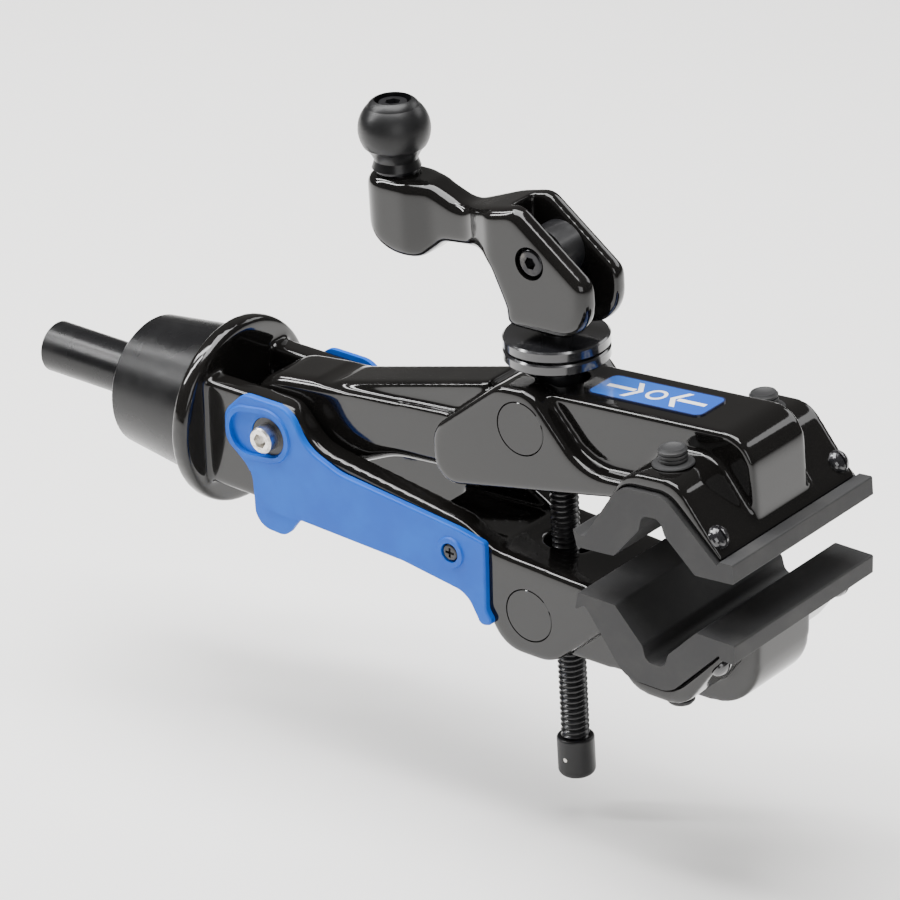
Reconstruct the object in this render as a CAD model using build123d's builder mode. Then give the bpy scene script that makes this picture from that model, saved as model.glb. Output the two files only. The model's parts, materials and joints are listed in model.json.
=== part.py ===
"""Clamp head of a bicycle repair stand.

The frame: the origin is on the hub axis where the mounting stub leaves the cone.
+X runs along the hub axis to the jaws, +Y is across the jaws and +Z is up.
"""

import math
import os

from build123d import *

os.makedirs("parts", exist_ok=True)

# Fits and gaps between pieces
running_fit = 0.05  # radial gap of a pin that turns in its bore
face_gap = 0.15  # gap between faces that slide past each other
thread_gap = 0.5  # radial gap that stands for the nut's thread
body_gap = 0.8  # gap between castings that move past each other

# Hub: stub, cone and flange
stub_diameter = 23.7
stub_length = 59.6
stub_seat_diameter = 20.0
stub_seat_depth = 50.0
stub_bolt_diameter = 10.0
stub_bolt_head_diameter = 16.0
stub_bolt_head_height = 10.0
stub_bolt_grip = 15.0
stub_socket_across = 8.0
stub_socket_depth = 5.0
cone_length = 46.8
cone_small_radius = 30.1
cone_large_radius = 35.7
flange_radius = 43.0
flange_thickness = 9.0
flange_round = 2.5

# Clamp body
body_width = 56.0
upper_width = 55.0
body_round = 2.6
hub_half_height = 25.6
arm_width = 31.0
spine_width = 23.0
spine_round = 2.2
arm_round = 5.5
lower_boss_radius = 20.4
nose_width = 38.0

# Pivot of the upper jaw
pivot_x = 93.0
pivot_z = 9.0
pivot_diameter = 10.0
bush_wall = 1.5
pivot_head_diameter = 12.0
pivot_head_height = 6.0
pivot_head_chamfer = 0.7
pivot_socket_across = 6.0
pivot_socket_depth = 3.5
pivot_nut_across = 13.8
pivot_nut_height = 5.2
pivot_washer_diameter = 17.4
pivot_washer_thickness = 1.4
counterbore_diameter = 18.0
eye_radius = 22.0

# Trunnions and the adjusting rod
lower_trunnion_x = 234.5
lower_trunnion_z = -35.5
upper_trunnion_reach = 141.0  # along the upper jaw, from the pivot
upper_trunnion_rise = 30.4  # square to the upper jaw, from the pivot
trunnion_radius = 12.2
trunnion_chamfer = 0.6
jaw_opening = 4.9  # degrees between the pad faces at rest
rod_diameter = 12.7
rod_tail = 85.0  # rod below the lower trunnion
cap_side_wall = 1.95
cap_length = 18.8
cap_wall = 3.0
cap_foot_round = 3.0
cap_rim_round = 1.2
cap_pin_diameter = 2.0
sleeve_diameter = 20.0
sleeve_top = 23.2  # above the upper trunnion
race_radius = 22.85
race_thickness = 5.05
race_round = 0.8
cage_radius = 20.4
cage_thickness = 0.7
collar_diameter = 19.0
collar_thickness = 3.2
cam_pivot_height = 70.4  # above the upper trunnion
rod_eye_radius = 12.0
rod_eye_gap = 0.3  # between the rod's eye and each cheek of the lever

# Cam lever
cheek_clearance = 0.45  # between the rod's shank and each cheek
lever_width = 32.0
cam_lock_distance = 32.0
cam_release_distance = 12.6
cam_release_angle = 142.0  # degrees of lever swing from lock to release
waist_width = 17.0
knob_boss_width = 25.0
knob_reach = 81.8
knob_boss_top = 20.0
knob_boss_round = 5.0
lever_pin_diameter = 8.0
lever_screw_head_diameter = 12.6
lever_screw_head_height = 3.4
lever_screw_round = 1.6
lever_counterbore_diameter = 14.6
lever_counterbore_depth = 4.0
lever_socket_across = 5.0
lever_socket_depth = 2.6

# Knob
knob_washer_thickness = 1.5
knob_neck_radius = 10.0
knob_ball_radius = 15.6
knob_height = 30.2
knob_bore_diameter = 8.4
knob_recess_diameter = 16.0
knob_recess_depth = 4.4
knob_screw_diameter = 8.2
knob_screw_head_diameter = 12.0
knob_screw_head_height = 3.0
knob_screw_grip = 20.0
knob_socket_across = 6.0
knob_socket_depth = 2.0

# Jaws: along the jaw from the pivot, and depth behind the pad face
pad_rear = 184.5
pad_front = 263.8
groove_centre = 224.0
groove_half_width = 20.5
groove_depth = 21.4
throat_depth = 12.0
pocket_radius = 6.5
pad_half_length = 49.9
lip_height = 8.6
lip_depth = 6.8
pad_back_depth = 32.0
saddle_depth = 38.5
saddle_half_length = 48.0
saddle_round = 14.0
crown_round = 12.5
closed_gap = 5.3  # between the pad faces when they are parallel
upper_face_rise = -5.2  # upper pad face, square to the upper jaw, from the pivot

# Pad fixings
plug_y = 32.0
plug_hole_diameter = 8.0
plug_head_diameter = 12.4
plug_flange_diameter = 18.0
plug_length = 14.0
pad_screw_y = 42.6
pad_screw_diameter = 4.0
pad_screw_head_diameter = 10.2
pad_screw_head_height = 3.4
pad_screw_grip = 5.0
pad_screw_slot_width = 1.2
pad_screw_slot_depth = 1.4
pad_screw_share = 0.24  # of the way up the saddle's front slope

# Label
label_length = 59.0
label_width = 21.0
label_thickness = 0.6
label_round = 4.0
label_rear = 163.5  # along the upper jaw, from the pivot

# Side covers
cover_thickness = 3.0
cover_round = 1.1
cover_screw_x = 195.0
cover_screw_z = -16.0
cover_screw_diameter = 4.0
cover_screw_head_diameter = 8.0
cover_screw_head_height = 2.2
cover_screw_round = 1.2
cover_screw_slot_length = 4.6
cover_screw_slot_width = 1.1
cover_screw_slot_depth = 1.3
cover_screw_grip = 6.0
cover_recess_depth = 1.6
cover_pocket_length = 31.5
cover_pocket_width = 20.5
cover_pocket_depth = 1.2
cover_set_back = 0.9
cover_ring_height = 0.9

# Worked out from the sizes above
half_body = body_width / 2
plug_seat = saddle_depth - pad_back_depth
saddle_front = pad_front - 6.5
pad_crown = [
    (pad_rear + 3.5, lip_depth - 2),
    (groove_centre - 15.5, pad_back_depth),
    (groove_centre + 7.5, pad_back_depth),
    (saddle_front - 1.5, lip_depth),
]
half_lever = lever_width / 2
cheek_gap = rod_diameter + 2 * cheek_clearance
rod_eye_width = cheek_gap - 2 * rod_eye_gap
cap_diameter = rod_diameter + 2 * cap_side_wall
hub_front = cone_length + flange_thickness
fork_slot = arm_width + 2 * body_gap
lower_face_z = pivot_z + upper_face_rise - closed_gap
opening = math.radians(jaw_opening)
nose_depth = 50.0

upper_trunnion_x = (
    pivot_x + upper_trunnion_reach * math.cos(opening) - upper_trunnion_rise * math.sin(opening)
)
upper_trunnion_z = (
    pivot_z + upper_trunnion_reach * math.sin(opening) + upper_trunnion_rise * math.cos(opening)
)
rod_rise = upper_trunnion_z - lower_trunnion_z
rod_lean = math.atan2(lower_trunnion_x - upper_trunnion_x, rod_rise)
trunnion_spacing = math.hypot(lower_trunnion_x - upper_trunnion_x, rod_rise)

# Working planes: each looks along the jaws' width, with its own X along the jaw
side = Plane.XZ
jaw = Plane(
    origin=(pivot_x, 0, pivot_z),
    x_dir=(math.cos(opening), 0, math.sin(opening)),
    z_dir=(0, -1, 0),
)
upper_grip = Plane(
    origin=jaw.from_local_coords((0, upper_face_rise, 0)),
    x_dir=jaw.x_dir,
    z_dir=(0, -1, 0),
)
lower_grip = Plane(origin=(pivot_x, 0, lower_face_z), x_dir=(1, 0, 0), z_dir=(0, 1, 0))
rod_side = Plane(
    origin=(upper_trunnion_x, 0, upper_trunnion_z),
    x_dir=(math.cos(rod_lean), 0, math.sin(rod_lean)),
    z_dir=(0, -1, 0),
)
rod_top = Plane(origin=rod_side.origin, x_dir=rod_side.x_dir, z_dir=rod_side.y_dir)
cam = Plane(
    origin=rod_side.from_local_coords((0, cam_pivot_height, 0)),
    x_dir=rod_side.x_dir,
    z_dir=(0, -1, 0),
)
knob_side = Plane(
    origin=cam.from_local_coords((-knob_reach, knob_boss_top, 0)),
    x_dir=cam.x_dir,
    z_dir=(0, -1, 0),
)
knob_axis = Axis(knob_side.origin, knob_side.y_dir)
cap_pin_height = cap_length / 2 - cap_wall - rod_tail - trunnion_spacing
cap_pin_side = Plane(origin=rod_top.from_local_coords((0, 0, cap_pin_height)), z_dir=(0, -1, 0))
knob_seat = Plane(origin=knob_side.origin, z_dir=knob_side.y_dir)


def outline(points, radii):
    """A closed outline whose corners are rounded by the matching radii."""
    FilletPolyline(*points, radius=radii, close=True)


def pad_section(plane):
    """Section of a jaw pad: a vee with a round pocket, and lips at both ends."""
    with BuildSketch(plane) as section:
        with BuildLine():
            outline(
                [
                    (groove_centre - groove_half_width, 0),
                    (pad_rear, 0),
                    (pad_rear - 1.6, lip_height),
                    *pad_crown,
                    (saddle_front, lip_height),
                    (pad_front, lip_height),
                    (pad_front, 0),
                    (groove_centre + groove_half_width, 0),
                    (groove_centre + pocket_radius + 4.4, throat_depth - 2),
                    (groove_centre + pocket_radius, throat_depth + 2.5),
                    (groove_centre + pocket_radius - 2, groove_depth),
                    (groove_centre - pocket_radius + 2, groove_depth),
                    (groove_centre - pocket_radius, throat_depth + 2.5),
                    (groove_centre - pocket_radius - 4.4, throat_depth - 2),
                ],
                [2, 0.5, 0.5, 2, crown_round, crown_round, 0, 0, 0.8, 0.8, 2, 3, 3, 4, 4, 3, 3],
            )
        make_face()
    return section.sketch


def pad_envelope(plane):
    """Everything that a pad fills or faces, which its casting stays clear of."""
    with BuildSketch(plane) as section:
        with BuildLine():
            outline(
                [
                    (pad_rear - 6, -3 * closed_gap),
                    (pad_rear - 6, lip_depth - 2),
                    *pad_crown,
                    (saddle_front - 1.5, -3 * closed_gap),
                ],
                [0, 0, 0, crown_round, crown_round, 0, 0],
            )
        make_face()
    return section.sketch


def saddle_section(plane):
    """Section of the arched plate that carries a pad, before the pad's seat is cut."""
    with BuildSketch(plane) as section:
        with BuildLine():
            outline(
                [
                    (saddle_front - 1.5, lip_depth),
                    (saddle_front, lip_height),
                    (groove_centre + 12.5, saddle_depth),
                    (groove_centre - 12.5, saddle_depth),
                    (groove_centre - 23.5, lip_depth + 17),
                    (groove_centre - 20, lip_depth + 14),
                ],
                [0, 0.5, saddle_round, saddle_round, 0, 0],
            )
        make_face()
    return section.sketch


def plug_places(plane):
    """Where the two plugs stand on the crown of a saddle."""
    return [
        Plane(
            origin=plane.from_local_coords((groove_centre, pad_back_depth, 0)) + Vector(0, y, 0),
            z_dir=plane.y_dir,
        )
        for y in (-plug_y, plug_y)
    ]


def screw_places(plane):
    """Where the two pad screws sit, square to the saddle's sloping front wall."""
    run = saddle_front - groove_centre - 12.5
    slope = math.atan2(saddle_depth - lip_height, run)
    foot = (
        saddle_front - pad_screw_share * run,
        lip_height + pad_screw_share * (saddle_depth - lip_height),
    )
    square = plane.x_dir * math.sin(slope) + plane.y_dir * math.cos(slope)
    return [
        Plane(origin=plane.from_local_coords((*foot, 0)) + Vector(0, y, 0), z_dir=square)
        for y in (-pad_screw_y, pad_screw_y)
    ]


# ---------------------------------------------------------------- hub
with BuildPart() as mounting_stub:
    with BuildSketch(side):
        with BuildLine():
            Polyline(
                (-stub_length, 0),
                (-stub_length, stub_diameter / 2 - 1.2),
                (-stub_length + 1.2, stub_diameter / 2),
                (0, stub_diameter / 2),
                (0, stub_seat_diameter / 2),
                (stub_seat_depth, stub_seat_diameter / 2),
                (stub_seat_depth, 0),
                close=True,
            )
        make_face()
    revolve(axis=Axis.X)
    with Locations(Plane(origin=(stub_seat_depth, 0, 0), z_dir=(1, 0, 0))):
        Hole(stub_bolt_diameter / 2, depth=stub_bolt_grip + 3)

with BuildPart() as friction_cone:
    with BuildSketch(side):
        with BuildLine():
            Polyline(
                (0, stub_seat_diameter / 2),
                (0, cone_small_radius - 1.5),
                (1.5, cone_small_radius),
                (cone_length, cone_large_radius),
                (cone_length, stub_seat_diameter / 2),
                close=True,
            )
        make_face()
    revolve(axis=Axis.X)

with BuildPart() as stub_bolt:
    with BuildSketch(side):
        with BuildLine():
            Polyline(
                (stub_seat_depth - stub_bolt_grip, 0),
                (stub_seat_depth - stub_bolt_grip, stub_bolt_diameter / 2),
                (hub_front, stub_bolt_diameter / 2),
                (hub_front, stub_bolt_head_diameter / 2),
                (hub_front + stub_bolt_head_height, stub_bolt_head_diameter / 2),
                (hub_front + stub_bolt_head_height, 0),
                close=True,
            )
        make_face()
    revolve(axis=Axis.X)
    with BuildSketch(Plane(origin=(hub_front + stub_bolt_head_height, 0, 0), z_dir=(1, 0, 0))):
        RegularPolygon(stub_socket_across / math.sqrt(3), 6)
    extrude(amount=-stub_socket_depth, mode=Mode.SUBTRACT)

# ---------------------------------------------------------------- clamp body
body_top_front = lower_trunnion_z + 24.5
with BuildPart() as clamp_body:
    # fork arms and lower jaw beam
    with BuildSketch(side):
        with BuildLine():
            outline(
                [
                    (cone_length + 2, hub_half_height),
                    (pivot_x + 11, hub_half_height),
                    (pivot_x + 25, 9.5),
                    (pivot_x + 105, -1.5),
                    (pivot_x + 122, body_top_front + 1),
                    (pivot_x + groove_centre - 20, body_top_front - 3),
                    (pivot_x + groove_centre - 20, body_top_front - 20),
                    (pivot_x + groove_centre - 42, lower_trunnion_z + 5.5),
                    (lower_trunnion_x + 11, lower_trunnion_z - lower_boss_radius),
                    (lower_trunnion_x - 15, lower_trunnion_z - lower_boss_radius),
                    (lower_trunnion_x - 29, -30.5),
                    (pivot_x + 32, 0.4 - hub_half_height),
                    (cone_length + 2, 1.0 - hub_half_height),
                ],
                [0, 13, 22, 14, 16, 0, 0, 8, 17, 17, 6, 8, 0],
            )
        make_face()
    extrude(amount=half_body, both=True)
    long_edges = clamp_body.faces().filter_by(Axis.Y).edges()
    fillet(long_edges.filter_by_position(Axis.X, hub_front, 280), body_round)
    # lower nose
    with BuildSketch(lower_grip):
        with BuildLine():
            outline(
                [
                    (lower_trunnion_x - pivot_x, nose_depth + 3.0),
                    (pad_front - 10.3, nose_depth - 1.0),
                    (pad_front - 9.8, lip_depth + 4),
                    (groove_centre, lip_depth + 4),
                    (lower_trunnion_x - pivot_x, 20),
                ],
                [0, 24, 0, 0, 0],
            )
        make_face()
    extrude(amount=nose_width / 2, both=True)
    extrude(saddle_section(lower_grip), amount=saddle_half_length, both=True)
    extrude(pad_envelope(lower_grip), amount=saddle_half_length + 4, both=True, mode=Mode.SUBTRACT)
    # flange
    with BuildSketch(side):
        with BuildLine():
            outline(
                [
                    (cone_length, 0),
                    (cone_length, flange_radius),
                    (hub_front, flange_radius),
                    (hub_front, 0),
                ],
                [0, flange_round, flange_round, 0],
            )
        make_face()
    revolve(axis=Axis.X)
    # slot for the upper arm
    with BuildSketch(side):
        with BuildLine():
            Polyline(
                (hub_front, 60),
                (lower_trunnion_x - 20, 60),
                (lower_trunnion_x - 20, -10),
                (pivot_x + 74, -13),
                (pivot_x + 74, -60),
                (hub_front, -60),
                close=True,
            )
        make_face()
    extrude(amount=fork_slot / 2, both=True, mode=Mode.SUBTRACT)
    # bores of the stub, the pivot and the trunnion
    with Locations(Plane(origin=(cone_length, 0, 0), z_dir=(-1, 0, 0))):
        Hole(stub_seat_diameter / 2, depth=stub_seat_depth - cone_length)
    with Locations(Plane(origin=(hub_front, 0, 0), z_dir=(1, 0, 0))):
        Hole(stub_bolt_diameter / 2, depth=flange_thickness)
    with BuildSketch(side):
        with Locations((pivot_x, pivot_z)):
            Circle(pivot_diameter / 2)
    extrude(amount=half_body, both=True, mode=Mode.SUBTRACT)
    with BuildSketch(side):
        with Locations((lower_trunnion_x, lower_trunnion_z)):
            Circle(trunnion_radius + running_fit)
    extrude(amount=half_body, both=True, mode=Mode.SUBTRACT)
    # slot that lets the rod swing
    with BuildSketch(
        Plane(origin=(lower_trunnion_x, 0, lower_trunnion_z), x_dir=(1, 0, 0), z_dir=(0, 0, 1))
    ):
        SlotOverall(rod_diameter + 9, rod_diameter + 2.6)
    extrude(amount=2 * lower_boss_radius, both=True, mode=Mode.SUBTRACT)
    for place in plug_places(lower_grip):
        with Locations(place):
            Hole(plug_hole_diameter / 2, depth=2 * saddle_depth)
    for place in screw_places(lower_grip):
        with Locations(place):
            Hole(pad_screw_diameter / 2, depth=pad_screw_grip + 3)

    for y in (-half_body, half_body):
        with Locations(Plane(origin=(cover_screw_x, y, cover_screw_z), z_dir=(0, y, 0))):
            Hole(cover_screw_diameter / 2, depth=cover_screw_grip)

with BuildPart() as lower_jaw_pad:
    extrude(pad_section(lower_grip), amount=pad_half_length, both=True)
    for place in screw_places(lower_grip):
        with Locations(place):
            Hole(pad_screw_diameter / 2, depth=pad_screw_grip + 3)

# ---------------------------------------------------------------- upper jaw
trunnion_centre = (upper_trunnion_reach, upper_trunnion_rise)
with BuildPart() as arm_spine:
    with BuildSketch(jaw):
        with BuildLine():
            Polyline((14, 20), (28, eye_radius + 2.2), (112, 40.0), (112, 20), close=True)
        make_face()
    extrude(amount=spine_width / 2, both=True)
    top_edges = arm_spine.edges().filter_by(
        lambda edge: edge.length > 60 and jaw.to_local_coords(edge.center()).Y > 25
    )
    fillet(top_edges, spine_round)

with BuildPart() as upper_jaw:
    # arm and its eye
    with BuildSketch(jaw):
        with BuildLine():
            outline(
                [
                    (-eye_radius, -eye_radius),
                    (-eye_radius, eye_radius),
                    (28, eye_radius + 2.2),
                    (112, 40.0),
                    (112, -4.0),
                    (58, -4.5),
                    (10, -eye_radius),
                ],
                [20, 20, 40, 0, 0, 40, 16],
            )
        make_face()
    extrude(amount=arm_width / 2, both=True)
    arm_sides = upper_jaw.faces().filter_by(Axis.Y).edges()
    fillet(arm_sides.filter_by_position(Axis.X, pivot_x - eye_radius - 5, pivot_x + 100), arm_round)
    # shoulders that leave a narrow spine along the arm's top
    with BuildSketch(jaw):
        with BuildLine():
            Polyline((16, 60), (16, 23), (34, 22.0), (112, 24.0), (112, 60), close=True)
        make_face()
    extrude(amount=arm_width, both=True, mode=Mode.SUBTRACT)
    add(arm_spine.part)
    # boss round the trunnion
    with BuildSketch(jaw):
        with BuildLine():
            outline(
                [
                    (91.2, -5.0),
                    (206, 10.0),
                    (206, 21.5),
                    (194, 16.6),
                    (171.5, 16.6),
                    (147, 47.8),
                    (129.5, 47.8),
                    (91.2, 21.0),
                ],
                [11, 0, 0, 8, 26, 13, 12, 13],
            )
        make_face()
    extrude(amount=upper_width / 2, both=True)
    boss_faces = upper_jaw.faces().filter_by(Axis.Y).sort_by(Axis.Y)
    boss_edges = boss_faces[0].edges() + boss_faces[-1].edges()
    fillet(boss_edges.filter_by_position(Axis.X, pivot_x + 80, pivot_x + 200), body_round)
    # slab and nose
    with BuildSketch(upper_grip):
        with BuildLine():
            outline(
                [
                    (138, nose_depth),
                    (pad_front - 10.0, nose_depth),
                    (pad_front - 9.6, lip_depth + 4),
                    (groove_centre, lip_depth + 4),
                    (205, 24),
                    (180, 14),
                    (138, 20),
                ],
                [0, 15, 0, 0, 0, 0, 0],
            )
        make_face()
    extrude(amount=nose_width / 2, both=True)
    extrude(saddle_section(upper_grip), amount=saddle_half_length, both=True)
    extrude(pad_envelope(upper_grip), amount=saddle_half_length + 4, both=True, mode=Mode.SUBTRACT)
    # bores of the pivot bushes and of the trunnion
    with BuildSketch(jaw):
        Circle(pivot_diameter / 2 + running_fit + bush_wall)
        with Locations(trunnion_centre):
            Circle(trunnion_radius + running_fit)
    extrude(amount=upper_width / 2, both=True, mode=Mode.SUBTRACT)
    # slots that let the rod and its sleeve swing
    with BuildSketch(Plane(origin=rod_side.origin, x_dir=jaw.x_dir, z_dir=jaw.y_dir)):
        SlotOverall(sleeve_diameter + 7, sleeve_diameter + 2 * body_gap)
    extrude(amount=2 * trunnion_radius, mode=Mode.SUBTRACT)
    with BuildSketch(Plane(origin=rod_side.origin, x_dir=jaw.x_dir, z_dir=-jaw.y_dir)):
        SlotOverall(collar_diameter + 8, collar_diameter + 2 * body_gap)
    extrude(amount=upper_trunnion_rise + 10, mode=Mode.SUBTRACT)
    for place in plug_places(upper_grip):
        with Locations(place):
            Hole(plug_hole_diameter / 2, depth=2 * saddle_depth)
    for place in screw_places(upper_grip):
        with Locations(place):
            Hole(pad_screw_diameter / 2, depth=pad_screw_grip + 3)

with BuildPart() as upper_jaw_pad:
    extrude(pad_section(upper_grip), amount=pad_half_length, both=True)
    for place in screw_places(upper_grip):
        with Locations(place):
            Hole(pad_screw_diameter / 2, depth=pad_screw_grip + 3)

# ---------------------------------------------------------------- trunnions and rod
with BuildPart() as upper_trunnion:
    with BuildSketch(rod_side):
        Circle(trunnion_radius)
    extrude(amount=upper_width / 2, both=True)
    with BuildSketch(rod_top.offset(trunnion_radius - 3.2)):
        Circle(sleeve_diameter / 2)
    extrude(amount=trunnion_radius, mode=Mode.SUBTRACT)
    with BuildSketch(rod_top):
        Circle(rod_diameter / 2 + running_fit)
    extrude(amount=trunnion_radius, both=True, mode=Mode.SUBTRACT)
    chamfer(upper_trunnion.faces().filter_by(Axis.Y).edges(), trunnion_chamfer)

lower_side = Plane(
    origin=(lower_trunnion_x, 0, lower_trunnion_z), x_dir=rod_side.x_dir, z_dir=(0, -1, 0)
)
with BuildPart() as lower_trunnion:
    with BuildSketch(lower_side):
        Circle(trunnion_radius)
    extrude(amount=half_body, both=True)
    chamfer(lower_trunnion.faces().filter_by(Axis.Y).edges(), trunnion_chamfer)
    with BuildSketch(rod_top.offset(-trunnion_spacing)):
        Circle(rod_diameter / 2 + thread_gap)
    extrude(amount=trunnion_radius, both=True, mode=Mode.SUBTRACT)

lower_race_top = sleeve_top + race_thickness
upper_race_foot = lower_race_top + cage_thickness + 2 * running_fit

with BuildPart() as thrust_sleeve:
    with BuildSketch(rod_top.offset(trunnion_radius - 3.2)):
        Circle(sleeve_diameter / 2)
        Circle(rod_diameter / 2 + running_fit, mode=Mode.SUBTRACT)
    extrude(amount=sleeve_top - trunnion_radius + 3.2)

with BuildPart() as lower_race:
    with BuildSketch(rod_top.offset(sleeve_top)):
        Circle(race_radius)
        Circle(rod_diameter / 2 + running_fit, mode=Mode.SUBTRACT)
    extrude(amount=race_thickness)
    chamfer(lower_race.edges().filter_by(GeomType.CIRCLE).group_by(SortBy.RADIUS)[-1], race_round)

with BuildPart() as roller_cage:
    with BuildSketch(rod_top.offset(lower_race_top + running_fit)):
        Circle(cage_radius)
        Circle(rod_diameter / 2 + 1, mode=Mode.SUBTRACT)
    extrude(amount=cage_thickness)

with BuildPart() as upper_race:
    with BuildSketch(rod_top.offset(upper_race_foot)):
        Circle(race_radius)
        Circle(rod_diameter / 2, mode=Mode.SUBTRACT)
    extrude(amount=race_thickness)
    chamfer(upper_race.edges().filter_by(GeomType.CIRCLE).group_by(SortBy.RADIUS)[-1], race_round)

with BuildPart() as adjusting_rod:
    with BuildSketch(rod_top.offset(-trunnion_spacing - rod_tail)):
        Circle(rod_diameter / 2)
    extrude(amount=trunnion_spacing + rod_tail + cam_pivot_height)
    with BuildSketch(cam):
        Circle(rod_eye_radius)
    extrude(amount=rod_eye_width / 2, both=True)
    with BuildSketch(cam):
        Circle(lever_pin_diameter / 2 + running_fit)
    extrude(amount=rod_eye_width, both=True, mode=Mode.SUBTRACT)
    with BuildSketch(cap_pin_side):
        Circle(cap_pin_diameter / 2)
    extrude(amount=rod_diameter, both=True, mode=Mode.SUBTRACT)

with BuildPart() as rod_collar:
    with BuildSketch(rod_top.offset(-trunnion_radius - 2 * face_gap - collar_thickness)):
        Circle(collar_diameter / 2)
        Circle(rod_diameter / 2, mode=Mode.SUBTRACT)
    extrude(amount=collar_thickness)

with BuildPart() as rod_end_cap:
    with BuildSketch(rod_top.offset(-trunnion_spacing - rod_tail - cap_wall)):
        Circle(cap_diameter / 2)
    extrude(amount=cap_length)
    fillet(rod_end_cap.edges().group_by(Axis.Z)[0], cap_foot_round)
    fillet(rod_end_cap.edges().group_by(Axis.Z)[-1], cap_rim_round)
    with BuildSketch(rod_top.offset(-trunnion_spacing - rod_tail)):
        Circle(rod_diameter / 2)
    extrude(amount=cap_length, mode=Mode.SUBTRACT)
    with BuildSketch(cap_pin_side):
        Circle(cap_pin_diameter / 2)
    extrude(amount=cap_diameter, both=True, mode=Mode.SUBTRACT)

with BuildPart() as cap_pin:
    with BuildSketch(cap_pin_side):
        Circle(cap_pin_diameter / 2)
    extrude(amount=cap_diameter / 2 - 0.2, both=True)

# ---------------------------------------------------------------- cam lever
release_tilt = math.radians(cam_release_angle - 90)


def release_flat(x):
    """Point of the release flat at a distance x in front of the cam's pivot."""
    return (x, (cam_release_distance - x * math.cos(release_tilt)) / math.sin(release_tilt))


with BuildPart() as cam_lever:
    with BuildSketch(cam):
        with BuildLine():
            outline(
                [
                    (-15.5, -cam_lock_distance),
                    (27.5, -cam_lock_distance),
                    release_flat(27.5),
                    release_flat(-8),
                    (-25, 18.5),
                    (-43, 13.5),
                    (-60, knob_boss_top),
                    (-knob_reach - 13.5, knob_boss_top),
                    (-knob_reach - 13.5, -14.5),
                    (-65, -14.5),
                    (-54, -5.5),
                    (-38, -4.0),
                    (-25, -3.0),
                    (-15.5, -24),
                ],
                [3.5, 17, 7, 8, 14, 16, 12, 0, 22, 9, 11, 12, 8, 6],
            )
        make_face()
    extrude(amount=half_lever, both=True)
    # plan shape: round knob boss, waist and clevis
    with BuildSketch(Plane(origin=cam.origin, x_dir=cam.x_dir, z_dir=cam.y_dir)):
        with BuildLine():
            FilletPolyline(
                (-knob_reach - knob_boss_width / 2, 0),
                (-knob_reach - knob_boss_width / 2, -knob_boss_width / 2),
                (-knob_reach + 12, -knob_boss_width / 2),
                (-58, -waist_width / 2),
                (-38, -waist_width / 2),
                (-22, -half_lever),
                (30, -half_lever),
                (30, 0),
                radius=[0, 12, 10, 14, 14, 10, 0, 0],
                close=True,
            )
        make_face()
        mirror(about=Plane.XZ)
    extrude(amount=2 * cam_lock_distance, both=True, mode=Mode.INTERSECT)
    boss_end = cam.from_local_coords((-knob_reach - 13, 0, 0)).X
    waist_end = cam.from_local_coords((-36, 0, 0)).X
    back_edges = cam_lever.edges().filter_by_position(Axis.X, boss_end - 5, waist_end)
    back_edges = back_edges.filter_by(
        lambda edge: cam.to_local_coords(edge.center()).Y > 12
        and (abs(edge.center().Y) > 1 or edge.center().X < boss_end + 2)
    )
    fillet(back_edges, knob_boss_round)
    # slot for the rod's eye
    with BuildSketch(Plane(origin=cam.origin, x_dir=cam.x_dir, z_dir=cam.y_dir)):
        with Locations((15, 0)):
            Rectangle(2 * (rod_eye_radius + 2.5) + 30, cheek_gap)
    extrude(amount=2 * cam_lock_distance, both=True, mode=Mode.SUBTRACT)
    with BuildSketch(cam):
        Circle(lever_pin_diameter / 2)
    extrude(amount=half_lever, both=True, mode=Mode.SUBTRACT)
    with BuildSketch(cam.offset(half_lever - lever_counterbore_depth), cam.offset(-half_lever)):
        Circle(lever_counterbore_diameter / 2)
    extrude(amount=lever_counterbore_depth, mode=Mode.SUBTRACT)
    with Locations(knob_seat):
        Hole(knob_screw_diameter / 2, depth=knob_screw_grip + 2)

with BuildPart() as lever_pin:
    with BuildSketch(cam):
        Circle(lever_pin_diameter / 2)
    extrude(amount=half_lever - lever_counterbore_depth, both=True)
    with BuildSketch(cam.offset(half_lever - lever_counterbore_depth)):
        Circle(lever_screw_head_diameter / 2)
    extrude(amount=lever_screw_head_height)
    fillet(lever_pin.faces().sort_by(Axis.Y)[0].edges(), lever_screw_round)
    with BuildSketch(cam.offset(half_lever - lever_counterbore_depth + lever_screw_head_height)):
        RegularPolygon(lever_socket_across / math.sqrt(3), 6)
    extrude(amount=-lever_socket_depth, mode=Mode.SUBTRACT)

with BuildPart() as lever_pin_nut:
    with BuildSketch(cam.offset(lever_counterbore_depth - half_lever)):
        Circle(lever_screw_head_diameter / 2)
    extrude(amount=-lever_screw_head_height)
    fillet(lever_pin_nut.faces().sort_by(Axis.Y)[-1].edges(), lever_screw_round)
    with BuildSketch(cam.offset(lever_counterbore_depth - half_lever - lever_screw_head_height)):
        RegularPolygon(lever_socket_across / math.sqrt(3), 6)
    extrude(amount=lever_socket_depth, mode=Mode.SUBTRACT)

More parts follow.
